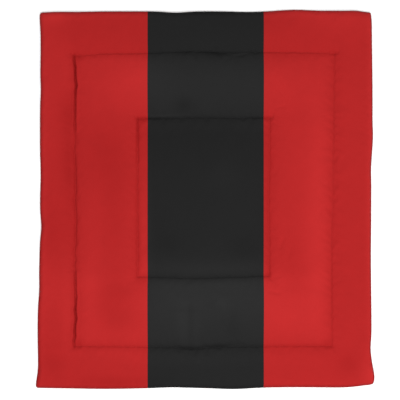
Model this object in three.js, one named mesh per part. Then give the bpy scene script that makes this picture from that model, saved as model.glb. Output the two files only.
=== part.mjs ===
// A full-size comforter lying flat, face up: two cloth panels sewn together round the edge and turned, filled
// with wadding, and quilted through along two rectangles, one inside the other. It is one filled solid.
// Millimetres, +Z up. X runs across the comforter and +Y towards the head of the bed. The origin is on the
// surface that it lies on, under the middle of its outline.

import * as THREE from "three";

// Cut size, and the turned edge seam, which lifts clear of the surface
const WIDTH = 2012;
const LENGTH = 2286;
const CORNER_RADII = { headLeft: 16, headRight: 14, footLeft: 12, footRight: 20 };
const EDGE_HEIGHT = 11;
const EDGE_THICKNESS = 6;

// The two quilted rectangles. Each right-hand side leans out by lean at its head and in by lean at its foot,
// and the stitches hold the upper cloth at height above the surface.
const OUTER_QUILTING = { left: -795, right: 773, foot: -888, head: 889, lean: 10, height: 16 };
const INNER_QUILTING = { left: -415, right: 386, foot: -467, head: 498, lean: 4, height: 18 };
const STITCHED_THICKNESS = 7;

// How far the wadding lifts the cloth above its seams. The border thins out towards the edge.
const BORDER_LOFT_OUTSIDE = 24;
const BORDER_LOFT_INSIDE = 36;
const RING_LOFT = 40;
const CENTRE_LOFT = 36;

// The cloth dips sharply into the quilting by a share of the loft, and takes the longer length to fill out the
// rest. At the edge it rounds over within a short length.
const DIP_SHARE = 0.15;
const DIP_LENGTH = 5;
const RISE_LENGTH = 85;
const EDGE_ROUNDING = 12;

// The underside lies flat, but for a channel this wide on each side of a seam, and its flat draws in this much
// between its corners
const CHANNEL_REACH = 45;
const DRAWN_IN = 14;

// Cells across one border strip, one side of the ring and the centre, crowded towards the seams
const BORDER_CELLS = 8;
const RING_CELLS = 11;
const CENTRE_CELLS_ACROSS = 14;
const CENTRE_CELLS_ALONG = 16;
const CROWDING = 0.78;

// The uneven outline: each row pushes one edge out, or in where out is negative, and lifts it, around one
// place along it
const EDGE_WAVES = [
  { edge: "left", at: 1110, reach: 40, out: 3, lift: 0 },
  { edge: "left", at: 935, reach: 110, out: -4, lift: 2 },
  { edge: "left", at: 665, reach: 55, out: -5, lift: 4 },
  { edge: "left", at: 150, reach: 75, out: -3, lift: -3 },
  { edge: "left", at: -165, reach: 50, out: -9, lift: 5 },
  { edge: "left", at: -550, reach: 50, out: -5, lift: 3 },
  { edge: "left", at: -800, reach: 260, out: 15, lift: -2 },
  { edge: "left", at: -1143, reach: 60, out: 20, lift: -4 },
  { edge: "right", at: 1130, reach: 20, out: -4, lift: 0 },
  { edge: "right", at: 600, reach: 260, out: 6, lift: -2 },
  { edge: "right", at: 380, reach: 55, out: 4, lift: 2 },
  { edge: "right", at: 185, reach: 45, out: -3, lift: -2 },
  { edge: "right", at: 90, reach: 140, out: -3, lift: 3 },
  { edge: "right", at: -350, reach: 200, out: -4, lift: -2 },
  { edge: "right", at: -905, reach: 45, out: -7, lift: 6 },
  { edge: "right", at: -1095, reach: 55, out: 16, lift: 3 },
  { edge: "head", at: -1006, reach: 60, out: -6, lift: 0 },
  { edge: "head", at: -800, reach: 90, out: -4, lift: 3 },
  { edge: "head", at: -185, reach: 60, out: -9, lift: 5 },
  { edge: "head", at: 255, reach: 80, out: -3, lift: -3 },
  { edge: "head", at: 540, reach: 90, out: 10, lift: -3 },
  { edge: "head", at: 800, reach: 90, out: 3, lift: 2 },
  { edge: "head", at: 905, reach: 35, out: 3, lift: 0 },
  { edge: "head", at: 1000, reach: 40, out: -6, lift: 0 },
  { edge: "foot", at: -610, reach: 170, out: 6, lift: -2 },
  { edge: "foot", at: -205, reach: 75, out: -5, lift: 4 },
  { edge: "foot", at: 170, reach: 90, out: 8, lift: -3 },
  { edge: "foot", at: 560, reach: 220, out: -5, lift: 2 },
  { edge: "foot", at: 1010, reach: 75, out: -20, lift: 3 },
];

// Where the quilting strays from a straight line: each row pushes one side of a rectangle out, or in where out is
// negative, around one place along it
const QUILTING_BOWS = [
  { edge: "outer left", at: 870, reach: 30, out: 6 },
  { edge: "outer left", at: 690, reach: 60, out: -4 },
  { edge: "outer left", at: -80, reach: 120, out: -5 },
  { edge: "outer left", at: -590, reach: 80, out: -4 },
  { edge: "outer left", at: -860, reach: 40, out: 7 },
  { edge: "outer right", at: -330, reach: 220, out: -5 },
  { edge: "outer head", at: -760, reach: 60, out: -12 },
  { edge: "outer head", at: -110, reach: 140, out: 11 },
  { edge: "outer head", at: 255, reach: 60, out: 4 },
  { edge: "outer head", at: 450, reach: 260, out: 7 },
  { edge: "outer foot", at: -100, reach: 260, out: 8 },
  { edge: "outer foot", at: -80, reach: 60, out: 11 },
  { edge: "inner left", at: 20, reach: 180, out: 3 },
  { edge: "inner right", at: 0, reach: 120, out: -6 },
  { edge: "inner head", at: -300, reach: 110, out: -4 },
  { edge: "inner head", at: -30, reach: 120, out: 4 },
  { edge: "inner foot", at: -70, reach: 110, out: 8 },
  { edge: "inner foot", at: 330, reach: 60, out: -5 },
];

// Where the wadding has gathered or thinned: soft swells and hollows of the upper cloth. The last four rows are
// the head and foot of the ring, where it has settled and each strip slopes down towards the foot.
const SWELLS = [
  { x: -842, y: 770, reachX: 38, reachY: 150, lift: 6 },
  { x: -824, y: 520, reachX: 42, reachY: 85, lift: -6 },
  { x: -828, y: 220, reachX: 45, reachY: 110, lift: -5 },
  { x: -848, y: -610, reachX: 38, reachY: 190, lift: 6 },
  { x: -915, y: -985, reachX: 75, reachY: 60, lift: -6 },
  { x: -550, y: -1092, reachX: 160, reachY: 26, lift: -5 },
  { x: 876, y: -974, reachX: 62, reachY: 62, lift: -10 },
  { x: 975, y: -1062, reachX: 45, reachY: 45, lift: 6 },
  { x: 890, y: 420, reachX: 70, reachY: 260, lift: 4 },
  { x: 320, y: 1010, reachX: 240, reachY: 60, lift: 4 },
  { x: -581, y: 220, reachX: 110, reachY: 200, lift: -6 },
  { x: -544, y: -628, reachX: 95, reachY: 150, lift: -6 },
  { x: -705, y: -770, reachX: 70, reachY: 70, lift: 5 },
  { x: 690, y: -155, reachX: 48, reachY: 560, lift: 6 },
  { x: 590, y: -719, reachX: 130, reachY: 90, lift: 5 },
  { x: 455, y: -320, reachX: 60, reachY: 130, lift: -5 },
  { x: -132, y: 568, reachX: 55, reachY: 40, lift: -7 },
  { x: 150, y: -690, reachX: 260, reachY: 90, lift: 4 },
  { x: 40, y: 60, reachX: 300, reachY: 260, lift: -3 },
  { x: 0, y: 790, reachX: 600, reachY: 90, lift: 8 },
  { x: 0, y: 570, reachX: 420, reachY: 80, lift: -8 },
  { x: 0, y: -560, reachX: 420, reachY: 90, lift: 9 },
  { x: 0, y: -800, reachX: 600, reachY: 90, lift: -8 },
];

const SEWN_EDGE = { left: -WIDTH / 2, right: WIDTH / 2, foot: -LENGTH / 2, head: LENGTH / 2 };

// 1 at the middle of a wave or swell, falling softly to 0 past its reach
function bell(distance, reach) {
  return Math.exp(-0.5 * (distance / reach) ** 2);
}

// 0 at the start of a length, rising towards 1 past it
function fillOut(distance, length) {
  return 1 - Math.exp(-distance / length);
}

// 0 on the quilting, rising to 1 as the wadding fills out
function rise(distance) {
  return THREE.MathUtils.lerp(fillOut(distance, RISE_LENGTH), fillOut(distance, DIP_LENGTH), DIP_SHARE);
}

// 1 on a seam, falling to 0 where the under cloth lies flat again
function besideSeam(distance) {
  return 1 - THREE.MathUtils.smoothstep(Math.abs(distance), 0, CHANNEL_REACH);
}

// The sum of one column of a table of waves at a place along one edge
function waveAt(table, edge, along, column) {
  let total = 0;
  for (const wave of table) {
    if (wave.edge === edge) {
      total += wave[column] * bell(along - wave.at, wave.reach);
    }
  }
  return total;
}

// The cells of one strip between two seams, as shares of its width, crowded towards both seams
function strip(cells) {
  const shares = [];
  for (let cell = 0; cell < cells; cell += 1) {
    const even = cell / cells;
    shares.push(even - (CROWDING * Math.sin(2 * Math.PI * even)) / (2 * Math.PI));
  }
  return shares;
}

// Every grid line across or along the comforter: the strip that it is in and its share of that strip
function gridLines(centreCells) {
  const cellsOfStrips = [BORDER_CELLS, RING_CELLS, centreCells, RING_CELLS, BORDER_CELLS];
  const lines = [];
  cellsOfStrips.forEach((cells, index) => {
    for (const share of strip(cells)) {
      lines.push({ strip: index, share });
    }
  });
  lines.push({ strip: cellsOfStrips.length - 1, share: 1 });
  return lines;
}

// The place of a grid line between the seams that its strip runs between
function placeOnSeams(line, seams) {
  return THREE.MathUtils.lerp(seams[line.strip], seams[line.strip + 1], line.share);
}

// How far one edge stands out at a place along it. waving is 1 on the upper cloth and on the edge seam, and 0
// on the flat of the under cloth, which has no waves and only draws in between its corners.
function standsOut(edge, along, halfLength, waving) {
  const drawnIn = DRAWN_IN * (1 - (along / halfLength) ** 2);
  return waving * waveAt(EDGE_WAVES, edge, along, "out") - (1 - waving) * drawnIn;
}

function bowsOut(edge, along) {
  return waveAt(QUILTING_BOWS, edge, along, "out");
}

// The seams from left to right, straight, and then as sewn at a place along the comforter
const STRAIGHT_ACROSS = [
  SEWN_EDGE.left, OUTER_QUILTING.left, INNER_QUILTING.left,
  INNER_QUILTING.right, OUTER_QUILTING.right, SEWN_EDGE.right,
];

function seamsAcross(y, waving) {
  const headward = y / SEWN_EDGE.head;
  return [
    SEWN_EDGE.left - standsOut("left", y, LENGTH / 2, waving),
    OUTER_QUILTING.left - bowsOut("outer left", y),
    INNER_QUILTING.left - bowsOut("inner left", y),
    INNER_QUILTING.right + INNER_QUILTING.lean * headward + bowsOut("inner right", y),
    OUTER_QUILTING.right + OUTER_QUILTING.lean * headward + bowsOut("outer right", y),
    SEWN_EDGE.right + standsOut("right", y, LENGTH / 2, waving),
  ];
}

// The seams from foot to head, straight, and then as sewn at a place across the comforter
const STRAIGHT_ALONG = [
  SEWN_EDGE.foot, OUTER_QUILTING.foot, INNER_QUILTING.foot,
  INNER_QUILTING.head, OUTER_QUILTING.head, SEWN_EDGE.head,
];

function seamsAlong(x, waving) {
  return [
    SEWN_EDGE.foot - standsOut("foot", x, WIDTH / 2, waving),
    OUTER_QUILTING.foot - bowsOut("outer foot", x),
    INNER_QUILTING.foot - bowsOut("inner foot", x),
    INNER_QUILTING.head + bowsOut("inner head", x),
    OUTER_QUILTING.head + bowsOut("outer head", x),
    SEWN_EDGE.head + standsOut("head", x, WIDTH / 2, waving),
  ];
}

// Distances from a point to each side of a seam's rectangle, positive inside
function sideDistances(seam, x, y) {
  return [x - seam.left, seam.right - x, y - seam.foot, seam.head - y];
}

function depthInside(seam, x, y) {
  return Math.min(...sideDistances(seam, x, y));
}

function gapOutside(seam, x, y) {
  const gapX = Math.max(seam.left - x, x - seam.right, 0);
  const gapY = Math.max(seam.foot - y, y - seam.head, 0);
  return Math.hypot(gapX, gapY);
}

// How far the wadding has filled out inside the quilting, outside it, and inside the rounded edge
function fullInside(seam, x, y) {
  return sideDistances(seam, x, y).reduce((full, side) => full * rise(side), 1);
}

function fullOutside(seam, x, y) {
  return rise(gapOutside(seam, x, y));
}

function fullFromEdge(x, y) {
  return sideDistances(SEWN_EDGE, x, y).reduce((full, side) => full * fillOut(side, EDGE_ROUNDING), 1);
}

// How far a point has come from an outer seam, 0, to an inner one, 1
function shareInwards(outerSeam, innerSeam, x, y) {
  const fromOuter = Math.max(depthInside(outerSeam, x, y), 0);
  return fromOuter / (fromOuter + gapOutside(innerSeam, x, y));
}

// The lift of the edge seam beside a point, from the nearest place on each edge
function edgeLift(x, y) {
  const [fromLeft, fromRight, fromFoot, fromHead] = sideDistances(SEWN_EDGE, x, y);
  const nearby = (distance) => bell(distance, CHANNEL_REACH);
  return (
    waveAt(EDGE_WAVES, "left", y, "lift") * nearby(fromLeft) +
    waveAt(EDGE_WAVES, "right", y, "lift") * nearby(fromRight) +
    waveAt(EDGE_WAVES, "foot", x, "lift") * nearby(fromFoot) +
    waveAt(EDGE_WAVES, "head", x, "lift") * nearby(fromHead)
  );
}

function swellLift(x, y) {
  let total = 0;
  for (const swell of SWELLS) {
    total += swell.lift * bell(x - swell.x, swell.reachX) * bell(y - swell.y, swell.reachY);
  }
  return total;
}

// Height of the upper cloth
function upperHeight(x, y) {
  const edgeTop = EDGE_HEIGHT + EDGE_THICKNESS / 2;
  if (depthInside(INNER_QUILTING, x, y) >= 0) {
    const full = fullInside(INNER_QUILTING, x, y);
    return INNER_QUILTING.height + full * (CENTRE_LOFT + swellLift(x, y));
  }
  if (depthInside(OUTER_QUILTING, x, y) >= 0) {
    const inwards = shareInwards(OUTER_QUILTING, INNER_QUILTING, x, y);
    const full = fullInside(OUTER_QUILTING, x, y) * fullOutside(INNER_QUILTING, x, y);
    const base = THREE.MathUtils.lerp(OUTER_QUILTING.height, INNER_QUILTING.height, inwards);
    return base + full * (RING_LOFT + swellLift(x, y));
  }
  const inwards = shareInwards(SEWN_EDGE, OUTER_QUILTING, x, y);
  const full = fullFromEdge(x, y) * fullOutside(OUTER_QUILTING, x, y);
  const base = THREE.MathUtils.lerp(edgeTop, OUTER_QUILTING.height, inwards);
  const loft = THREE.MathUtils.lerp(BORDER_LOFT_OUTSIDE, BORDER_LOFT_INSIDE, inwards);
  return base + edgeLift(x, y) + full * (loft + swellLift(x, y));
}

// Height of the under cloth: drawn up at the seams and flat between them
function lowerHeight(x, y) {
  const toSeam = (seam) => Math.max(depthInside(seam, x, y), gapOutside(seam, x, y));
  const edgeBottom = EDGE_HEIGHT - EDGE_THICKNESS / 2 + edgeLift(x, y);
  return Math.max(
    edgeBottom * besideSeam(depthInside(SEWN_EDGE, x, y)),
    (OUTER_QUILTING.height - STITCHED_THICKNESS) * besideSeam(toSeam(OUTER_QUILTING)),
    (INNER_QUILTING.height - STITCHED_THICKNESS) * besideSeam(toSeam(INNER_QUILTING)),
  );
}

function cornerRadius(x, y) {
  if (y > 0) {
    return x < 0 ? CORNER_RADII.headLeft : CORNER_RADII.headRight;
  }
  return x < 0 ? CORNER_RADII.footLeft : CORNER_RADII.footRight;
}

// Draws a point in the square corner of the cut back onto a round corner
function roundCorner(point, x, y) {
  const radius = cornerRadius(x, y);
  const across = (Math.abs(x) - (WIDTH / 2 - radius)) / radius;
  const along = (Math.abs(y) - (LENGTH / 2 - radius)) / radius;
  if (across > 0 && along > 0) {
    point.x -= Math.sign(x) * radius * across * (1 - Math.sqrt(1 - along ** 2 / 2));
    point.y -= Math.sign(y) * radius * along * (1 - Math.sqrt(1 - across ** 2 / 2));
  }
}

// A box of grid cells, each point moved to its place on the upper or the under cloth
function filledCloth() {
  const columns = gridLines(CENTRE_CELLS_ACROSS);
  const rows = gridLines(CENTRE_CELLS_ALONG);
  const geometry = new THREE.BoxGeometry(2, 2, 2, columns.length - 1, rows.length - 1, 1);
  const points = geometry.attributes.position;
  const point = new THREE.Vector3();
  const lineAt = (lines, place) => lines[Math.round(((place + 1) / 2) * (lines.length - 1))];

  for (let index = 0; index < points.count; index += 1) {
    point.fromBufferAttribute(points, index);
    const column = lineAt(columns, point.x);
    const row = lineAt(rows, point.y);
    const isUpper = point.z > 0;
    const x = placeOnSeams(column, STRAIGHT_ACROSS);
    const y = placeOnSeams(row, STRAIGHT_ALONG);
    const waving = isUpper ? 1 : besideSeam(depthInside(SEWN_EDGE, x, y));
    point.x = placeOnSeams(column, seamsAcross(y, waving));
    point.y = placeOnSeams(row, seamsAlong(x, waving));
    point.z = isUpper ? upperHeight(x, y) : lowerHeight(x, y);
    roundCorner(point, x, y);
    points.setXYZ(index, point.x, point.y, point.z);
  }

  geometry.computeBoundingBox();
  const middle = geometry.boundingBox.getCenter(new THREE.Vector3());
  geometry.translate(-middle.x, -middle.y, 0);
  geometry.computeVertexNormals();
  return geometry;
}

const redCloth = new THREE.MeshStandardMaterial({ color: 0xb72928, roughness: 0.85, metalness: 0 });
const comforter = new THREE.Mesh(filledCloth(), redCloth);
comforter.name = "comforter";

const group = new THREE.Group();
group.add(comforter);

export default group;
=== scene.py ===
# A full-size striped comforter lying flat, face up: two cloth panels sewn together round the edge and turned,
# filled with wadding, and quilted through along two rectangles, one inside the other.
# Sizes are in millimetres and become metres when a mesh is written. The floor, the light and the camera are
# in metres from the start.

import math

import bmesh
import bpy
import numpy as np
from mathutils import Matrix, Vector


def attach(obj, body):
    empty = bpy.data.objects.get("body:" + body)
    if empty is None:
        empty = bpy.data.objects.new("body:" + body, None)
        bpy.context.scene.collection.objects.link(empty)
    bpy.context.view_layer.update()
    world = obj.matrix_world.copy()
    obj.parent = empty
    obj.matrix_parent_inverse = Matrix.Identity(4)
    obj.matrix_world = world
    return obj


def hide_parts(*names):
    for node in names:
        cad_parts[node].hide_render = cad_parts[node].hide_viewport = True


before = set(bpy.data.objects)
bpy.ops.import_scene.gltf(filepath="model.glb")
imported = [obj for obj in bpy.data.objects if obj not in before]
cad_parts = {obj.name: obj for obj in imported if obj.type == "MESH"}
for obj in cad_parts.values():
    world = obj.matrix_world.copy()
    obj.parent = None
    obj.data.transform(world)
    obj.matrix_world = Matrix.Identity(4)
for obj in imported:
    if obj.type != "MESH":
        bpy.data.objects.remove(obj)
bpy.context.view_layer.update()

MM = 0.001

# A length in millimetres that keeps a division from being by 0
TINY = 0.001

# Cut size, the turned edge seam and the two quilted rectangles, as in the part's source. The lean is how far
# a rectangle's right side leans out at the head of the comforter, and the height is that of its upper cloth.
WIDTH = 2012
LENGTH = 2286
CORNER_RADII = {"head left": 16, "head right": 14, "foot left": 12, "foot right": 20}
EDGE_HEIGHT = 11
EDGE_THICKNESS = 6
SEWN_EDGE = {"left": -WIDTH / 2, "right": WIDTH / 2, "foot": -LENGTH / 2, "head": LENGTH / 2}
OUTER_QUILTING = {"left": -795, "right": 773, "foot": -888, "head": 889, "lean": 10, "height": 16}
INNER_QUILTING = {"left": -415, "right": 386, "foot": -467, "head": 498, "lean": 4, "height": 18}
STITCHED_THICKNESS = 7

# How far the wadding lifts the cloth above its seams. The border thins out towards the edge. The cloth dips
# sharply into a seam by a share of the loft, and takes the longer length to fill out the rest.
BORDER_LOFT_OUTSIDE = 24
BORDER_LOFT_INSIDE = 36
RING_LOFT = 40
CENTRE_LOFT = 36
DIP_SHARE = 0.15
DIP_LENGTH = 5
RISE_LENGTH = 85
EDGE_ROUNDING = 12

# The underside is flat but for a channel on each side of a seam, and its flat draws in between its corners
CHANNEL_REACH = 45
DRAWN_IN = 14

# The uneven outline: edge, place along it, reach, how far it stands out, and how far it lifts
EDGE_WAVES = [
    ("left", 1110, 40, 3, 0),
    ("left", 935, 110, -4, 2),
    ("left", 665, 55, -5, 4),
    ("left", 150, 75, -3, -3),
    ("left", -165, 50, -9, 5),
    ("left", -550, 50, -5, 3),
    ("left", -800, 260, 15, -2),
    ("left", -1143, 60, 20, -4),
    ("right", 1130, 20, -4, 0),
    ("right", 600, 260, 6, -2),
    ("right", 380, 55, 4, 2),
    ("right", 185, 45, -3, -2),
    ("right", 90, 140, -3, 3),
    ("right", -350, 200, -4, -2),
    ("right", -905, 45, -7, 6),
    ("right", -1095, 55, 16, 3),
    ("head", -1006, 60, -6, 0),
    ("head", -800, 90, -4, 3),
    ("head", -185, 60, -9, 5),
    ("head", 255, 80, -3, -3),
    ("head", 540, 90, 10, -3),
    ("head", 800, 90, 3, 2),
    ("head", 905, 35, 3, 0),
    ("head", 1000, 40, -6, 0),
    ("foot", -610, 170, 6, -2),
    ("foot", -205, 75, -5, 4),
    ("foot", 170, 90, 8, -3),
    ("foot", 560, 220, -5, 2),
    ("foot", 1010, 75, -20, 3),
]

# Where the quilting strays from a straight line: side, place along it, reach, how far it stands out
QUILTING_BOWS = [
    ("outer left", 870, 30, 6),
    ("outer left", 690, 60, -4),
    ("outer left", -80, 120, -5),
    ("outer left", -590, 80, -4),
    ("outer left", -860, 40, 7),
    ("outer right", -330, 220, -5),
    ("outer head", -760, 60, -12),
    ("outer head", -110, 140, 11),
    ("outer head", 255, 60, 4),
    ("outer head", 450, 260, 7),
    ("outer foot", -100, 260, 8),
    ("outer foot", -80, 60, 11),
    ("inner left", 20, 180, 3),
    ("inner right", 0, 120, -6),
    ("inner head", -300, 110, -4),
    ("inner head", -30, 120, 4),
    ("inner foot", -70, 110, 8),
    ("inner foot", 330, 60, -5),
]

# Smaller kinks of the left seam, too small for the part's solid, in the same columns
QUILTING_KINKS = [
    ("outer left", 700, 18, -3),
    ("outer left", 305, 40, 5),
    ("outer left", -15, 40, 5),
    ("outer left", -310, 22, 4),
    ("outer left", -395, 14, 4),
    ("outer left", -718, 22, -4),
    ("outer left", -828, 14, -4),
]

# Where the wadding has gathered or thinned: x, y, reach across, reach along, lift. The last four rows are the
# head and foot of the ring, where it has settled and each strip slopes down towards the foot.
SWELLS = [
    (-842, 770, 38, 150, 6),
    (-824, 520, 42, 85, -6),
    (-828, 220, 45, 110, -5),
    (-848, -610, 38, 190, 6),
    (-915, -985, 75, 60, -6),
    (-550, -1092, 160, 26, -5),
    (876, -974, 62, 62, -10),
    (975, -1062, 45, 45, 6),
    (890, 420, 70, 260, 4),
    (320, 1010, 240, 60, 4),
    (-581, 220, 110, 200, -6),
    (-544, -628, 95, 150, -6),
    (-705, -770, 70, 70, 5),
    (690, -155, 48, 560, 6),
    (590, -719, 130, 90, 5),
    (455, -320, 60, 130, -5),
    (-132, 568, 55, 40, -7),
    (150, -690, 260, 90, 4),
    (40, 60, 300, 260, -3),
    (0, 790, 600, 90, 8),
    (0, 570, 420, 80, -8),
    (0, -560, 420, 90, 9),
    (0, -800, 600, 90, -8),
]

# Creases and ridges of the upper cloth: from x, y to x, y, half width, and height, below 0 for a crease. The
# first eight rows are the pinched left seam. The lower CREASE_END is, the blunter their ends are.
CREASE_END = 0.25
CREASES = [
    (-795, 890, -795, 410, 4, -8),
    (-806, 890, -806, 410, 6, 7),
    (-784, 890, -784, 410, 6, 7),
    (-795, 440, -795, -440, 12, -3),
    (-795, 270, -795, -260, 4, -3),
    (-795, -430, -795, -900, 4, -7),
    (-806, -430, -806, -900, 6, 7),
    (-784, -430, -784, -900, 6, 7),
    (773, 880, 773, -890, 7, 6.5),
    (773, 880, 773, -890, 30, 4),
    (-785, 889, 765, 889, 8, 3),
    (-785, -888, 765, -888, 8, 2),
    (-410, -467, 381, -467, 8, 4),
    (-415, 498, -415, 230, 6, -4),
    (-820, 889, -760, 889, 10, -5),
    (-820, -888, -750, -888, 10, -5),
    (730, -888, 790, -888, 10, -4),
    (740, 889, 800, 889, 10, -4),
    (-430, 498, -360, 498, 9, -5),
    (350, 498, 410, 498, 9, -5),
    (386, 470, 386, -440, 8, 2),
    (-95, -600, -88, -890, 8, -6),
    (-170, -620, -40, -640, 8, -3),
    (75, -620, 95, -740, 8, -5),
    (165, 864, 320, 884, 6, -4),
    (115, -866, 255, -880, 5, -4),
    (378, -556, 455, -566, 7, -4),
    (470, -225, 452, -300, 8, -4),
    (520, -270, 500, -360, 8, -3),
    (415, 556, 485, 566, 8, -3),
]

# How much the cloth is gathered along all its seams, and where it is gathered more: x, y, reach across, reach
# along, amount
GATHERED_ALL_OVER = 0.2
GATHERS = [
    (40, 889, 170, 60, 0.55),
    (60, -888, 170, 60, 0.5),
    (773, 60, 60, 520, 0.4),
    (0, 498, 380, 60, 0.35),
    (430, 500, 70, 70, 0.5),
    (430, -520, 90, 70, 0.5),
]

# Levels of the flat bag, and a distance that counts as on a seam
UPPER = 1
UNDER = -1
ON_SEAM = 0.01

# Cells across the border, the ring, the centre, the ring and the border, crowded towards the seams. The upper
# cloth then gets twice as many, so that it can pucker.
CELLS_ACROSS = [15, 25, 48, 25, 15]
CELLS_ALONG = [17, 27, 56, 27, 17]
CROWDING = 0.4
ROLLED_EDGE_CUTS = 3


def bell(distance, reach):
    return np.exp(-0.5 * (distance / reach) ** 2)


def fill_out(distance, length):
    return 1 - np.exp(-np.maximum(distance, 0) / length)


# 0 on a seam, rising to 1 as the wadding fills out
def rise(distance):
    return lerp(fill_out(distance, RISE_LENGTH), fill_out(distance, DIP_LENGTH), DIP_SHARE)


# 1 on a seam, falling to 0 where the under cloth lies flat again
def beside_seam(distance):
    share = np.clip(np.abs(distance) / CHANNEL_REACH, 0, 1)
    return 1 - share * share * (3 - 2 * share)


def lerp(start, end, share):
    return start + (end - start) * share


# The waves of one edge at places along it: how far it stands out and how far it lifts
def edge_wave(edge, along):
    out = np.zeros_like(along)
    lift = np.zeros_like(along)
    for name, at, reach, row_out, row_lift in EDGE_WAVES:
        if name == edge:
            out += row_out * bell(along - at, reach)
            lift += row_lift * bell(along - at, reach)
    return out, lift


def bows_out(side, along):
    out = np.zeros_like(along)
    for name, at, reach, row_out in QUILTING_BOWS + QUILTING_KINKS:
        if name == side:
            out += row_out * bell(along - at, reach)
    return out


# waving is 1 on the upper cloth and on the edge seam, and 0 on the flat of the under cloth
def stands_out(edge, along, half_length, waving):
    drawn_in = DRAWN_IN * (1 - (along / half_length) ** 2)
    return waving * edge_wave(edge, along)[0] - (1 - waving) * drawn_in


# The strip that each grid line is in, and its share of that strip
def strips_of(lines, cells):
    starts = np.concatenate([[0], np.cumsum(cells)])
    strip = np.clip(np.searchsorted(starts, lines, side="right") - 1, 0, len(cells) - 1)
    even = (lines - starts[strip]) / np.array(cells)[strip]
    return strip, even - CROWDING * np.sin(2 * np.pi * even) / (2 * np.pi)


def place_on_seams(strip, share, seams):
    seams = np.stack(np.broadcast_arrays(*seams, share)[:-1])
    points = np.arange(len(share))
    return lerp(seams[strip, points], seams[strip + 1, points], share)


STRAIGHT_ACROSS = [
    SEWN_EDGE["left"], OUTER_QUILTING["left"], INNER_QUILTING["left"],
    INNER_QUILTING["right"], OUTER_QUILTING["right"], SEWN_EDGE["right"],
]
STRAIGHT_ALONG = [
    SEWN_EDGE["foot"], OUTER_QUILTING["foot"], INNER_QUILTING["foot"],
    INNER_QUILTING["head"], OUTER_QUILTING["head"], SEWN_EDGE["head"],
]


def seams_across(y, waving):
    headward = y / SEWN_EDGE["head"]
    return [
        SEWN_EDGE["left"] - stands_out("left", y, LENGTH / 2, waving),
        OUTER_QUILTING["left"] - bows_out("outer left", y),
        INNER_QUILTING["left"] - bows_out("inner left", y),
        INNER_QUILTING["right"] + INNER_QUILTING["lean"] * headward + bows_out("inner right", y),
        OUTER_QUILTING["right"] + OUTER_QUILTING["lean"] * headward + bows_out("outer right", y),
        SEWN_EDGE["right"] + stands_out("right", y, LENGTH / 2, waving),
    ]


def seams_along(x, waving):
    return [
        SEWN_EDGE["foot"] - stands_out("foot", x, WIDTH / 2, waving),
        OUTER_QUILTING["foot"] - bows_out("outer foot", x),
        INNER_QUILTING["foot"] - bows_out("inner foot", x),
        INNER_QUILTING["head"] + bows_out("inner head", x),
        OUTER_QUILTING["head"] + bows_out("outer head", x),
        SEWN_EDGE["head"] + stands_out("head", x, WIDTH / 2, waving),
    ]


def side_distances(seam, x, y):
    return np.stack([x - seam["left"], seam["right"] - x, y - seam["foot"], seam["head"] - y])


def depth_inside(seam, x, y):
    return side_distances(seam, x, y).min(axis=0)


def gap_outside(seam, x, y):
    gap_x = np.maximum(np.maximum(seam["left"] - x, x - seam["right"]), 0)
    gap_y = np.maximum(np.maximum(seam["foot"] - y, y - seam["head"]), 0)
    return np.hypot(gap_x, gap_y)


def to_seam(seam, x, y):
    return np.maximum(depth_inside(seam, x, y), gap_outside(seam, x, y))


# How far the wadding has filled out inside a quilted seam, outside one, and inside the rounded edge
def full_inside(seam, x, y):
    return rise(side_distances(seam, x, y)).prod(axis=0)


def full_outside(seam, x, y):
    return rise(gap_outside(seam, x, y))


def full_from_edge(x, y):
    return fill_out(side_distances(SEWN_EDGE, x, y), EDGE_ROUNDING).prod(axis=0)


# How far a point has come from an outer seam, 0, to an inner one, 1
def share_inwards(outer_seam, inner_seam, x, y):
    from_outer = np.maximum(depth_inside(outer_seam, x, y), 0)
    from_inner = gap_outside(inner_seam, x, y)
    return from_outer / np.maximum(from_outer + from_inner, TINY)


def edge_lift(x, y):
    from_left, from_right, from_foot, from_head = side_distances(SEWN_EDGE, x, y)
    return (
        edge_wave("left", y)[1] * bell(from_left, CHANNEL_REACH)
        + edge_wave("right", y)[1] * bell(from_right, CHANNEL_REACH)
        + edge_wave("foot", x)[1] * bell(from_foot, CHANNEL_REACH)
        + edge_wave("head", x)[1] * bell(from_head, CHANNEL_REACH)
    )


# The sum of a table of soft spots: x, y, reach across, reach along, amount
def soft_spots(table, x, y):
    total = np.zeros_like(x)
    for spot_x, spot_y, reach_x, reach_y, amount in table:
        total += amount * bell(x - spot_x, reach_x) * bell(y - spot_y, reach_y)
    return total


def creases(x, y):
    total = np.zeros_like(x)
    for x0, y0, x1, y1, half_width, height in CREASES:
        length = math.hypot(x1 - x0, y1 - y0)
        along = np.clip(((x - x0) * (x1 - x0) + (y - y0) * (y1 - y0)) / length ** 2, 0, 1)
        distance = np.hypot(x - lerp(x0, x1, along), y - lerp(y0, y1, along))
        total += height * bell(distance, half_width) * np.sin(math.pi * along) ** CREASE_END
    return total


def upper_height(x, y):
    swell = soft_spots(SWELLS, x, y)
    centre = INNER_QUILTING["height"] + full_inside(INNER_QUILTING, x, y) * (CENTRE_LOFT + swell)

    inwards = share_inwards(OUTER_QUILTING, INNER_QUILTING, x, y)
    ring = lerp(OUTER_QUILTING["height"], INNER_QUILTING["height"], inwards)
    full = full_inside(OUTER_QUILTING, x, y) * full_outside(INNER_QUILTING, x, y)
    ring = ring + full * (RING_LOFT + swell)

    inwards = share_inwards(SEWN_EDGE, OUTER_QUILTING, x, y)
    loft = lerp(BORDER_LOFT_OUTSIDE, BORDER_LOFT_INSIDE, inwards) + swell
    border = lerp(EDGE_HEIGHT + EDGE_THICKNESS / 2, OUTER_QUILTING["height"], inwards) + edge_lift(x, y)
    border = border + full_from_edge(x, y) * full_outside(OUTER_QUILTING, x, y) * loft

    in_centre = depth_inside(INNER_QUILTING, x, y) >= 0
    in_ring = depth_inside(OUTER_QUILTING, x, y) >= 0
    return np.where(in_centre, centre, np.where(in_ring, ring, border))


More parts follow.
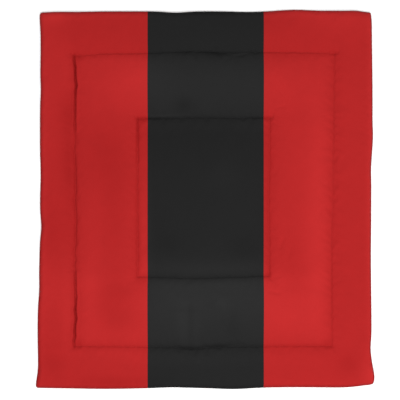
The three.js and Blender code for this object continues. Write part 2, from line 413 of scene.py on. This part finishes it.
def lower_height(x, y):
    edge = (EDGE_HEIGHT - EDGE_THICKNESS / 2 + edge_lift(x, y)) * beside_seam(depth_inside(SEWN_EDGE, x, y))
    outer = (OUTER_QUILTING["height"] - STITCHED_THICKNESS) * beside_seam(to_seam(OUTER_QUILTING, x, y))
    inner = (INNER_QUILTING["height"] - STITCHED_THICKNESS) * beside_seam(to_seam(INNER_QUILTING, x, y))
    return np.maximum(np.maximum(edge, outer), inner)


# Draws points in a square corner of the cut back onto a round corner
def round_corners(points, x, y):
    at_head = np.where(x < 0, CORNER_RADII["head left"], CORNER_RADII["head right"])
    at_foot = np.where(x < 0, CORNER_RADII["foot left"], CORNER_RADII["foot right"])
    radius = np.where(y > 0, at_head, at_foot)
    across = np.clip((np.abs(x) - (WIDTH / 2 - radius)) / radius, 0, 1)
    along = np.clip((np.abs(y) - (LENGTH / 2 - radius)) / radius, 0, 1)
    points[:, 0] -= np.sign(x) * radius * across * (1 - np.sqrt(1 - along ** 2 / 2))
    points[:, 1] -= np.sign(y) * radius * along * (1 - np.sqrt(1 - across ** 2 / 2))


# Two flat grids, one over the other, joined round their rims into a closed bag. The rim gets the loops of the
# rolled edge, and the upper grid is cut finer. The under cloth takes the second material.
def bag_of_cloth():
    bag = bmesh.new()
    bmesh.ops.create_grid(bag, x_segments=sum(CELLS_ACROSS), y_segments=sum(CELLS_ALONG), size=1,
                          matrix=Matrix.Translation((0, 0, UPPER)))
    upper_edges = bag.edges[:]
    under = bmesh.ops.duplicate(bag, geom=bag.verts[:] + bag.edges[:] + bag.faces[:])["geom"]
    under_verts = [item for item in under if isinstance(item, bmesh.types.BMVert)]
    under_faces = [item for item in under if isinstance(item, bmesh.types.BMFace)]
    bmesh.ops.translate(bag, verts=under_verts, vec=(0, 0, UNDER - UPPER))
    bmesh.ops.reverse_faces(bag, faces=under_faces)
    for face in under_faces:
        face.material_index = 1
    rims = [edge for edge in bag.edges if edge.is_boundary]
    across_rim = bmesh.ops.bridge_loops(bag, edges=rims)["edges"]
    bmesh.ops.subdivide_edges(bag, edges=across_rim, cuts=ROLLED_EDGE_CUTS, use_grid_fill=True)
    bmesh.ops.subdivide_edges(bag, edges=upper_edges, cuts=1, use_grid_fill=True, use_single_edge=True)
    bmesh.ops.recalc_face_normals(bag, faces=bag.faces[:])
    return bag


# Where a vertex of the flat bag lies before it is sewn: its strips and its straight place
def straight_place(flat):
    column, share_across = strips_of((flat[:, 0] + 1) / 2 * sum(CELLS_ACROSS), CELLS_ACROSS)
    row, share_along = strips_of((flat[:, 1] + 1) / 2 * sum(CELLS_ALONG), CELLS_ALONG)
    x = place_on_seams(column, share_across, STRAIGHT_ACROSS)
    y = place_on_seams(row, share_along, STRAIGHT_ALONG)
    return column, share_across, row, share_along, x, y


# Each vertex of the flat bag in its place on the upper cloth, the under cloth or the rolled edge
def fill_bag(flat):
    column, share_across, row, share_along, x, y = straight_place(flat)
    level = flat[:, 2]
    is_under = level == UNDER
    is_rolled = (level > UNDER) & (level < UPPER)
    waving = np.where(is_under, beside_seam(depth_inside(SEWN_EDGE, x, y)), 1)

    places = np.stack([
        place_on_seams(column, share_across, seams_across(y, waving)),
        place_on_seams(row, share_along, seams_along(x, waving)),
        np.where(is_under, lower_height(x, y), upper_height(x, y) + creases(x, y)),
    ], axis=1)
    round_corners(places, x, y)

    bulge = np.where(is_rolled, EDGE_THICKNESS / 2 * np.sqrt(1 - level ** 2), 0)
    places[:, 0] += np.where(np.abs(x) == WIDTH / 2, np.sign(x) * bulge, 0)
    places[:, 1] += np.where(np.abs(y) == LENGTH / 2, np.sign(y) * bulge, 0)
    rolled_height = EDGE_HEIGHT + edge_lift(x, y) + level * EDGE_THICKNESS / 2
    places[:, 2] = np.where(is_rolled, rolled_height, places[:, 2])
    return places, x, y


def vertex_places(mesh):
    places = np.empty(len(mesh.vertices) * 3)
    mesh.vertices.foreach_get("co", places)
    return places.reshape(-1, 3)


def move_vertices(mesh, places):
    mesh.vertices.foreach_set("co", places.ravel())
    mesh.update()


# The upper cloth is cut a little fuller than its seams, so it puckers beside the stitches that hold it back.
# The cloth simulation grows it away from the seams, and the wadding holds it softly in its place.
FULLNESS_OF_CUT = 0.03
PUCKER_REACH = 40
WADDING_HOLD = 0.3
WADDING_REACH = 60
WEIGHT_LEVELS = 24

# The chance unevenness that the simulation starts from: its height, its waves and their shortest and longest
UNEVENNESS = 0.3
UNEVEN_WAVES = 40
UNEVEN_LENGTHS = (35, 120)
CLOTH_SEED = 7

# How long the simulation runs, the farthest that it may move the cloth, and how the cloth behaves
PUCKER_FRAMES = 16
PUCKER_CAP = 9
CLOTH_SETTINGS = {
    "quality": 4,
    "mass": 0.2,
    "tension_stiffness": 20,
    "compression_stiffness": 20,
    "shear_stiffness": 5,
    "bending_stiffness": 1.5,
    "tension_damping": 10,
    "compression_damping": 10,
    "shear_damping": 10,
    "bending_damping": 1,
    "air_damping": 5,
    "vertex_group_mass": "sewn",
    "pin_stiffness": 1,
    "vertex_group_shrink": "cut_to_size",
    "shrink_min": -FULLNESS_OF_CUT,
    "shrink_max": 0,
}


def weigh(piece, name, weights):
    group = piece.vertex_groups.new(name=name)
    levels = np.rint(weights * WEIGHT_LEVELS) / WEIGHT_LEVELS
    for level in np.unique(levels):
        group.add(np.flatnonzero(levels == level).tolist(), float(level), "REPLACE")


# Long and short waves in every direction, added up
def unevenness(x, y):
    chance = np.random.default_rng(CLOTH_SEED)
    total = np.zeros_like(x)
    for _ in range(UNEVEN_WAVES):
        heading, phase = chance.uniform(0, 2 * math.pi, 2)
        length = chance.uniform(*UNEVEN_LENGTHS)
        total += np.cos(2 * math.pi / length * (x * math.cos(heading) + y * math.sin(heading)) + phase)
    return UNEVENNESS * total / math.sqrt(UNEVEN_WAVES / 2)


# Runs the cloth simulation and gives the places of the vertices at its end
def simulate(piece):
    cloth = piece.modifiers.new("pucker", "CLOTH")
    for name, value in CLOTH_SETTINGS.items():
        setattr(cloth.settings, name, value)
    cloth.settings.effector_weights.gravity = 0
    cloth.collision_settings.use_collision = False
    cloth.collision_settings.use_self_collision = False
    cloth.point_cache.frame_start = 1
    cloth.point_cache.frame_end = PUCKER_FRAMES
    for number in range(1, PUCKER_FRAMES + 1):
        bpy.context.scene.frame_set(number)
    settled = piece.evaluated_get(bpy.context.evaluated_depsgraph_get())
    places = vertex_places(settled.data)
    piece.modifiers.clear()
    piece.vertex_groups.clear()
    bpy.context.scene.frame_set(1)
    return places


def pucker(piece, flat, x, y):
    from_quilting = np.minimum(to_seam(OUTER_QUILTING, x, y), to_seam(INNER_QUILTING, x, y))
    from_seam = np.minimum(depth_inside(SEWN_EDGE, x, y), from_quilting)
    is_sewn = (flat[:, 2] < UPPER) | (from_seam < ON_SEAM)
    gathered = np.clip(GATHERED_ALL_OVER + soft_spots(GATHERS, x, y), 0, 1)
    hold = WADDING_HOLD * fill_out(from_seam, WADDING_REACH)
    weigh(piece, "sewn", np.where(is_sewn, 1, hold))
    weigh(piece, "cut_to_size", 1 - gathered * np.exp(-from_seam / PUCKER_REACH))

    start = vertex_places(piece.data)
    start[:, 2] += np.where(is_sewn, 0, unevenness(x, y) * MM)
    move_vertices(piece.data, start)
    moved = simulate(piece) - start

    cap = PUCKER_CAP * MM
    distance = np.linalg.norm(moved, axis=1, keepdims=True)
    moved *= cap * np.tanh(distance / cap) / np.maximum(distance, TINY * MM)
    move_vertices(piece.data, start + moved)


# Light and shade painted into the cloth's colour, as a tone from 0, painted shade, to 1, painted light.
# Painted shade runs along the turned edge. The rows paint light and shade in soft spots, with lines of
# painted shade in the quilted seams: panel, x, y, reach across, reach along, amount. A panel's rows fade
# towards its quilted seams. The rows of the outer and the inner seam lie on that rectangle or just inside it,
# and fade outside it.
PAINTED_SHADING_ALL_OVER = 0.4
PAINTED_SHADING_FADE = 30
SEAM_SHADE_FADE = 8
EDGE_SHADE_WIDTH = 5
PAINTED_SHADING_SPOTS = [
    ("outer seam", -795, 745, 4, 130, -0.35),
    ("outer seam", -795, -735, 4, 110, -0.35),
    ("outer seam", -795, 790, 4, 40, -0.15),
    ("outer seam", -795, 225, 4, 110, -0.12),
    ("outer seam", -795, -560, 4, 35, 0.15),
    ("outer seam", -795, -655, 4, 20, -0.15),
    ("outer seam", -795, -805, 4, 30, -0.2),
    ("inner seam", -415, 430, 4, 70, -0.3),
    ("inner seam", -320, 498, 70, 4, -0.3),
    ("inner seam", 330, 498, 60, 4, -0.2),
    ("outer seam", -768, 864, 24, 18, -0.14),
    ("outer seam", -768, -864, 24, 18, -0.14),
    ("outer seam", 745, -862, 26, 16, -0.12),
    ("inner seam", -397, 480, 16, 14, -0.12),
    ("inner seam", 378, -460, 14, 12, -0.12),
    ("outer seam", -125, 880, 35, 9, -0.13),
    ("outer seam", 65, 877, 45, 9, -0.2),
    ("outer seam", -20, 878, 60, 18, -0.06),
    ("outer seam", -95, -882, 65, 10, -0.22),
    ("outer seam", 75, -880, 55, 9, -0.18),
    ("outer seam", 560, -882, 230, 8, -0.07),
    ("outer seam", 773, -560, 5, 260, -0.07),
    ("ring", 0, 0, 4000, 4000, 0.1),
    ("ring", 0, 740, 900, 150, 0.09),
    ("ring", -380, 760, 110, 110, 0.1),
    ("ring", 165, -755, 30, 60, -0.07),
    ("ring", -170, -740, 90, 90, 0.05),
    ("ring", -135, 568, 42, 34, -0.15),
    ("ring", -240, 512, 90, 6, 0.25),
    ("ring", -97, -740, 7, 100, -0.06),
    ("ring", -140, -740, 25, 90, 0.07),
    ("ring", -60, -760, 25, 60, 0.05),
    ("ring", -125, -660, 60, 8, -0.06),
    ("ring", 52, -622, 22, 14, -0.06),
    ("ring", 100, -624, 22, 18, 0.08),
    ("ring", 0, -560, 550, 120, 0.2),
    ("ring", 0, -490, 420, 35, 0.2),
    ("ring", -560, 855, 220, 25, 0.1),
    ("ring", 680, 705, 90, 100, -0.05),
    ("ring", 620, -570, 110, 160, -0.05),
    ("ring", 690, 0, 60, 500, 0.18),
    ("ring", 500, -380, 70, 130, -0.08),
    ("ring", 560, -700, 130, 90, 0.08),
    ("ring", 560, -490, 60, 50, -0.08),
    ("ring", -480, -505, 100, 60, -0.12),
    ("ring", -590, 270, 150, 170, -0.17),
    ("ring", -550, -130, 60, 180, -0.11),
    ("ring", -550, -610, 90, 150, -0.18),
    ("ring", -710, -640, 40, 200, 0.08),
    ("ring", -560, -830, 180, 45, 0.08),
    ("border", 880, 540, 150, 420, 0.07),
    ("border", 820, 1090, 200, 60, 0.12),
    ("border", 985, -1060, 40, 50, 0.2),
    ("border", 865, -980, 50, 50, -0.12),
    ("border", -950, 800, 60, 400, 0.12),
    ("border", -842, 800, 35, 110, 0.12),
    ("border", -824, 520, 45, 85, -0.12),
    ("border", -828, 220, 45, 110, -0.12),
    ("border", -815, 130, 22, 250, -0.12),
    ("border", -828, -640, 26, 190, 0.14),
    ("border", -910, -200, 70, 130, -0.08),
    ("border", -930, -560, 90, 180, 0.12),
    ("border", -905, -950, 75, 60, -0.12),
    ("border", -200, -945, 600, 40, 0.1),
    ("border", -560, -917, 200, 20, 0.1),
    ("border", -560, -1100, 170, 26, -0.12),
    ("border", -1002, 0, 8, 1500, -0.18),
    ("border", -985, 0, 14, 1000, 0.12),
    ("border", 990, 200, 14, 1000, 0.12),
    ("border", 1002, 0, 8, 1500, 0.18),
    ("border", -690, 1118, 260, 16, 0.12),
    ("border", -920, 1110, 60, 30, 0.15),
    ("border", 560, 1118, 150, 16, 0.14),
    ("border", -720, -1136, 260, 7, -0.18),
    ("border", 700, -1136, 300, 7, -0.22),
    ("border", 0, 1140, 330, 12, -0.25),
    ("border", 0, -1143, 330, 12, -0.25),
    ("centre", 0, 455, 420, 25, 0.07),
    ("centre", 0, 330, 450, 130, -0.04),
    ("centre", 120, 150, 60, 60, 0.05),
    ("centre", -230, -265, 50, 45, -0.06),
    ("centre", 240, -300, 60, 60, -0.06),
    ("centre", -385, -200, 30, 300, 0.25),
    ("centre", 0, -440, 450, 50, 0.18),
]


# How much of a row's amount each place gets, from 0 to 1
def painted_shading_share(panel, x, y):
    if panel == "outer seam":
        return 1 - fill_out(gap_outside(OUTER_QUILTING, x, y), SEAM_SHADE_FADE)
    if panel == "inner seam":
        return 1 - fill_out(gap_outside(INNER_QUILTING, x, y), SEAM_SHADE_FADE)
    if panel == "centre":
        return fill_out(depth_inside(INNER_QUILTING, x, y), PAINTED_SHADING_FADE)
    if panel == "ring":
        from_inner = fill_out(gap_outside(INNER_QUILTING, x, y), PAINTED_SHADING_FADE)
        return from_inner * fill_out(depth_inside(OUTER_QUILTING, x, y), PAINTED_SHADING_FADE)
    return fill_out(gap_outside(OUTER_QUILTING, x, y), PAINTED_SHADING_FADE)


# Paints light and shade into the cloth's colour: a tone for each vertex, kept in an attribute that the
# cloth's material reads
def paint_light_and_shade(mesh, x, y):
    painted_shading = np.full_like(x, PAINTED_SHADING_ALL_OVER)
    for panel, *spot in PAINTED_SHADING_SPOTS:
        painted_shading += painted_shading_share(panel, x, y) * soft_spots([spot], x, y)
    # Painted shade along the turned edge
    painted_shading *= fill_out(depth_inside(SEWN_EDGE, x, y), EDGE_SHADE_WIDTH)
    layer = mesh.attributes.new("painted_shading", "FLOAT", "POINT")
    layer.data.foreach_set("value", np.clip(painted_shading, 0, 1))


# sRGB hex to linear
def colour(hex_value):
    linear = []
    for shift in (16, 8, 0):
        value = (hex_value >> shift & 255) / 255
        linear.append(value / 12.92 if value <= 0.04045 else ((value + 0.055) / 1.055) ** 2.4)
    return (*linear, 1)


def add_node(tree, kind, settings, inputs):
    node = tree.nodes.new(kind)
    for name, value in settings.items():
        setattr(node, name, value)
    for name, value in inputs.items():
        if isinstance(value, bpy.types.NodeSocket):
            tree.links.new(value, node.inputs[name])
        else:
            node.inputs[name].default_value = value
    return node


# The colours of the cloth in painted shade and in painted light, the dyes of the thread, and the edges of the
# black band
RED_IN_PAINTED_SHADE = 0x820B0B
RED_IN_PAINTED_LIGHT = 0xB82828
BLACK_IN_PAINTED_SHADE = 0x050505
BLACK_IN_PAINTED_LIGHT = 0x292929
RED_THREAD = 0x9E1818
BLACK_THREAD = 0x171717
BAND_LEFT = -348.2
BAND_RIGHT = 356

# The weave, drawn about ten times too coarse so that it shows; the fuzz; and the patches of uneven dye
WEAVE_SPACING = 2
WEAVE_WANDER = 1
FUZZ_SIZE = 5
FUZZ_DETAIL = 4
PATCH_SIZE = 90
PATCH_DETAIL = 3
WEAKEST_DYE = 0.95
STRONGEST_DYE = 1.05

# How rough and shiny the cloth is, and how much and how deep its weave and fuzz show
CLOTH_SMOOTHEST = 0.75
CLOTH_ROUGHEST = 0.9
CLOTH_SHINE = 0.1
CLOTH_BUMP = 0.35
CLOTH_BUMP_DEPTH = 0.3

# The same for the sewing thread, and the size of its twist
THREAD_ROUGHNESS = 0.55
THREAD_SHINE = 0.3
THREAD_BUMP = 0.5
THREAD_BUMP_DEPTH = 0.2
TWIST_SIZE = 1

# The length after which a wave texture with a scale of 1 repeats
WAVE_TEXTURE_LENGTH = 2 * math.pi / 20


def new_material(name):
    material = bpy.data.materials.new(name)
    material.use_nodes = True
    material.node_tree.nodes.clear()
    return material, material.node_tree


# 1 on the black band and 0 beside it
def on_band(tree, place):
    x = add_node(tree, "ShaderNodeSeparateXYZ", {}, {"Vector": place}).outputs["X"]
    middle = (BAND_LEFT + BAND_RIGHT) / 2 * MM
    half = (BAND_RIGHT - BAND_LEFT) / 2 * MM
    from_middle = add_node(tree, "ShaderNodeMath", {"operation": "SUBTRACT"}, {0: x, 1: middle}).outputs[0]
    distance = add_node(tree, "ShaderNodeMath", {"operation": "ABSOLUTE"}, {0: from_middle}).outputs[0]
    return add_node(tree, "ShaderNodeMath", {"operation": "LESS_THAN"}, {0: distance, 1: half}).outputs[0]


# Brushed polyester microfibre: matt, with painted light and shade mixed into its colour, a close weave under
# it, and dye that took a little unevenly. The face is printed with the black band, and the back is plain.
def brushed_polyester(name, is_printed):
    material, tree = new_material(name)
    place = add_node(tree, "ShaderNodeTexCoord", {}, {}).outputs["Object"]
    # The painted light and shade, read from the cloth, mixes each colour between its painted shade and
    # painted light
    painted_shading = add_node(tree, "ShaderNodeAttribute", {"attribute_name": "painted_shading"}, {}).outputs["Fac"]
    base_colour = add_node(tree, "ShaderNodeMix", {"data_type": "RGBA"}, {
        "Factor": painted_shading,
        "A": colour(RED_IN_PAINTED_SHADE),
        "B": colour(RED_IN_PAINTED_LIGHT),
    }).outputs["Result"]
    if is_printed:
        band = add_node(tree, "ShaderNodeMix", {"data_type": "RGBA"}, {
            "Factor": painted_shading,
            "A": colour(BLACK_IN_PAINTED_SHADE),
            "B": colour(BLACK_IN_PAINTED_LIGHT),
        }).outputs["Result"]
        base_colour = add_node(tree, "ShaderNodeMix", {"data_type": "RGBA"}, {
            "Factor": on_band(tree, place),
            "A": base_colour,
            "B": band,
        }).outputs["Result"]
    patches = add_node(tree, "ShaderNodeTexNoise", {}, {
        "Vector": place,
        "Scale": 1 / (PATCH_SIZE * MM),
        "Detail": PATCH_DETAIL,
    }).outputs["Fac"]
    strength = add_node(tree, "ShaderNodeMapRange", {}, {
        "Value": patches,
        "To Min": WEAKEST_DYE,
        "To Max": STRONGEST_DYE,
    }).outputs["Result"]
    cloth = add_node(tree, "ShaderNodeVectorMath", {"operation": "SCALE"}, {
        "Vector": base_colour,
        "Scale": strength,
    }).outputs["Vector"]

    threads = {
        "Vector": place,
        "Scale": WAVE_TEXTURE_LENGTH / (WEAVE_SPACING * MM),
        "Distortion": WEAVE_WANDER,
    }
    warp = add_node(tree, "ShaderNodeTexWave", {"bands_direction": "X"}, threads).outputs["Fac"]
    weft = add_node(tree, "ShaderNodeTexWave", {"bands_direction": "Y"}, threads).outputs["Fac"]
    weave = add_node(tree, "ShaderNodeMath", {"operation": "MULTIPLY"}, {0: warp, 1: weft}).outputs[0]
    fuzz = add_node(tree, "ShaderNodeTexNoise", {}, {
        "Vector": place,
        "Scale": 1 / (FUZZ_SIZE * MM),
        "Detail": FUZZ_DETAIL,
    }).outputs["Fac"]
    surface = add_node(tree, "ShaderNodeMath", {"operation": "ADD"}, {0: weave, 1: fuzz}).outputs[0]
    bump = add_node(tree, "ShaderNodeBump", {}, {
        "Height": surface,
        "Strength": CLOTH_BUMP,
        "Distance": CLOTH_BUMP_DEPTH * MM,
    }).outputs["Normal"]
    roughness = add_node(tree, "ShaderNodeMapRange", {}, {
        "Value": fuzz,
        "To Min": CLOTH_SMOOTHEST,
        "To Max": CLOTH_ROUGHEST,
    }).outputs["Result"]
    shader = add_node(tree, "ShaderNodeBsdfPrincipled", {}, {
        "Base Color": cloth,
        "Roughness": roughness,
        "Specular IOR Level": CLOTH_SHINE,
        "Normal": bump,
    })
    add_node(tree, "ShaderNodeOutputMaterial", {}, {"Surface": shader.outputs["BSDF"]})
    return material


# Spun polyester sewing thread, dyed to match the cloth that it lies on and a little glossier than it
def sewing_thread():
    material, tree = new_material("polyester_thread")
    place = add_node(tree, "ShaderNodeTexCoord", {}, {}).outputs["Object"]
    base_colour = add_node(tree, "ShaderNodeMix", {"data_type": "RGBA"}, {
        "Factor": on_band(tree, place),
        "A": colour(RED_THREAD),
        "B": colour(BLACK_THREAD),
    }).outputs["Result"]
    twist = add_node(tree, "ShaderNodeTexNoise", {}, {
        "Vector": place,
        "Scale": 1 / (TWIST_SIZE * MM),
    }).outputs["Fac"]
    bump = add_node(tree, "ShaderNodeBump", {}, {
        "Height": twist,
        "Strength": THREAD_BUMP,
        "Distance": THREAD_BUMP_DEPTH * MM,
    }).outputs["Normal"]
    shader = add_node(tree, "ShaderNodeBsdfPrincipled", {}, {
        "Base Color": base_colour,
        "Roughness": THREAD_ROUGHNESS,
        "Specular IOR Level": THREAD_SHINE,
        "Normal": bump,
    })
    add_node(tree, "ShaderNodeOutputMaterial", {}, {"Surface": shader.outputs["BSDF"]})
    return material


def new_piece(name, shape, materials):
    mesh = bpy.data.meshes.new(name)
    shape.to_mesh(mesh)
    shape.free()
    for material in materials:
        mesh.materials.append(material)
    piece = bpy.data.objects.new(name, mesh)
    bpy.context.scene.collection.objects.link(piece)
    return piece


# The comforter, with the middle of its outline over the origin
comforter = new_piece("comforter_cloth", bag_of_cloth(), [
    brushed_polyester("brushed_polyester_printed", True),
    brushed_polyester("brushed_polyester_plain", False),
])
flat = vertex_places(comforter.data)
places, straight_x, straight_y = fill_bag(flat)
places[:, :2] -= (places[:, :2].min(axis=0) + places[:, :2].max(axis=0)) / 2
move_vertices(comforter.data, places * MM)
comforter.data.shade_smooth()
pucker(comforter, flat, straight_x, straight_y)
# Light and shade painted into the cloth's colour
paint_light_and_shade(comforter.data, straight_x, straight_y)
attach(comforter, "root")
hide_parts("comforter")

# Quilting stitches, longer and thicker than real ones so that they show
STITCH_PITCH = 5
STITCH_LENGTH = 3.8
STITCH_SIDES = 6
STITCH_RINGS = 4
THREAD_THICKNESS = 1.1


# The vertices of the upper cloth along one quilted rectangle, in order round it
def seam_route(seam, is_upper, x, y):
    on_seam = is_upper & (depth_inside(seam, x, y) > -ON_SEAM)
    sides = [
        (np.abs(y - seam["foot"]) < ON_SEAM, x),
        (np.abs(x - seam["right"]) < ON_SEAM, y),
        (np.abs(y - seam["head"]) < ON_SEAM, -x),
        (np.abs(x - seam["left"]) < ON_SEAM, -y),
    ]
    route = []
    for on_side, order in sides:
        side = np.flatnonzero(on_seam & on_side)
        route.extend(side[np.argsort(order[side])][:-1])
    return route


# A short length of thread, repeated along a route
def row_of_stitches(route):
    line = bpy.data.curves.new("route", "CURVE")
    line.dimensions = "3D"
    line.twist_mode = "Z_UP"
    spline = line.splines.new("POLY")
    spline.points.add(len(route) - 1)
    for point, place in zip(spline.points, route):
        point.co = (*place, 1)
    spline.use_cyclic_u = True
    path = bpy.data.objects.new("route", line)
    bpy.context.scene.collection.objects.link(path)
    length = spline.calc_length()
    count = round(length / (STITCH_PITCH * MM))

    stitch = bmesh.new()
    bmesh.ops.create_uvsphere(stitch, u_segments=STITCH_SIDES, v_segments=STITCH_RINGS,
                              radius=THREAD_THICKNESS / 2 * MM)
    bmesh.ops.rotate(stitch, verts=stitch.verts[:], matrix=Matrix.Rotation(math.pi / 2, 3, "Y"))
    bmesh.ops.scale(stitch, verts=stitch.verts[:], vec=(STITCH_LENGTH / THREAD_THICKNESS, 1, 1))
    bmesh.ops.translate(stitch, verts=stitch.verts[:], vec=(STITCH_LENGTH / 2 * MM, 0, 0))
    piece = new_piece("stitch", stitch, [])
    repeat = piece.modifiers.new("repeat", "ARRAY")
    repeat.count = count
    repeat.use_relative_offset = False
    repeat.use_constant_offset = True
    repeat.constant_offset_displace = (length / count, 0, 0)
    follow = piece.modifiers.new("follow", "CURVE")
    follow.object = path
    row = bpy.data.meshes.new_from_object(piece.evaluated_get(bpy.context.evaluated_depsgraph_get()))
    bpy.data.objects.remove(piece)
    bpy.data.objects.remove(path)
    return row


sewn_places = vertex_places(comforter.data)
is_upper = flat[:, 2] == UPPER
rows = bmesh.new()
for quilting in (OUTER_QUILTING, INNER_QUILTING):
    route = seam_route(quilting, is_upper, straight_x, straight_y)
    rows.from_mesh(row_of_stitches(sewn_places[route]))
stitches = new_piece("quilting_stitches", rows, [sewing_thread()])
stitches.data.shade_smooth()
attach(stitches, "root")

# The floor of matt white paper, which gives the plain white ground
FLOOR_HALF_SIZE = 60
PAPER_WHITE = 0xF7F7F7
PAPER_ROUGHNESS = 0.9
floor_shape = bmesh.new()
bmesh.ops.create_grid(floor_shape, x_segments=1, y_segments=1, size=FLOOR_HALF_SIZE)
paper, paper_tree = new_material("matt_white_paper")
paper_shader = add_node(paper_tree, "ShaderNodeBsdfPrincipled", {}, {
    "Base Color": colour(PAPER_WHITE),
    "Roughness": PAPER_ROUGHNESS,
    "Specular IOR Level": 0,
})
add_node(paper_tree, "ShaderNodeOutputMaterial", {}, {"Surface": paper_shader.outputs["BSDF"]})
floor = new_piece("floor", floor_shape, [paper])

# Soft studio light: a white room, lit from its ceiling, and a large softbox above the foot, to the right. The
# rows are how high up the room is looked at, from 0 at the floor's horizon to 1 overhead, and how bright it
# is there. They take the place of the two marks that a new ramp has.
ROOM_BRIGHTNESS = [
    (0, 0.77),
    (0.18, 0.77),
    (0.28, 0.5),
    (0.5, 0.6),
    (0.8, 1),
]
ROOM_STRENGTH = 1.02
SOFTBOX_PLACE = Vector((1.1, -2.6, 5.4))
SOFTBOX_SIZE = 3.5
SOFTBOX_WATTS = 260
room = bpy.data.worlds.new("white_room")
room.use_nodes = True
sky = add_node(room.node_tree, "ShaderNodeTexCoord", {}, {}).outputs["Generated"]
sky_height = add_node(room.node_tree, "ShaderNodeSeparateXYZ", {}, {"Vector": sky}).outputs["Z"]
ramp = add_node(room.node_tree, "ShaderNodeValToRGB", {}, {"Fac": sky_height})
marks = ramp.color_ramp.elements
marks.remove(marks[1])
for height, brightness in ROOM_BRIGHTNESS:
    mark = marks.new(height)
    mark.color = (brightness, brightness, brightness, 1)
marks.remove(marks[0])
background = room.node_tree.nodes["Background"]
room.node_tree.links.new(ramp.outputs["Color"], background.inputs["Color"])
background.inputs["Strength"].default_value = ROOM_STRENGTH
bpy.context.scene.world = room
lamp = bpy.data.lights.new("softbox", "AREA")
lamp.size = SOFTBOX_SIZE
lamp.energy = SOFTBOX_WATTS
softbox = bpy.data.objects.new("softbox", lamp)
softbox.location = SOFTBOX_PLACE
softbox.rotation_euler = (-SOFTBOX_PLACE).to_track_quat("-Z", "Y").to_euler()
bpy.context.scene.collection.objects.link(softbox)

# The camera looks straight down, from far enough to see the comforter almost without perspective. The lens
# and its sensor are in millimetres.
VIEW_WIDTH = 2.426
VIEW_CENTRE = (-0.0305, -0.0033)
CLOTH_LEVEL = 0.03
LENS = 85
SENSOR = 36
lens = bpy.data.cameras.new("camera")
lens.lens = LENS
lens.sensor_width = SENSOR
camera = bpy.data.objects.new("camera", lens)
camera.location = (*VIEW_CENTRE, CLOTH_LEVEL + VIEW_WIDTH * LENS / SENSOR)
bpy.context.scene.collection.objects.link(camera)
bpy.context.scene.camera = camera
bpy.context.scene.view_settings.view_transform = "Standard"
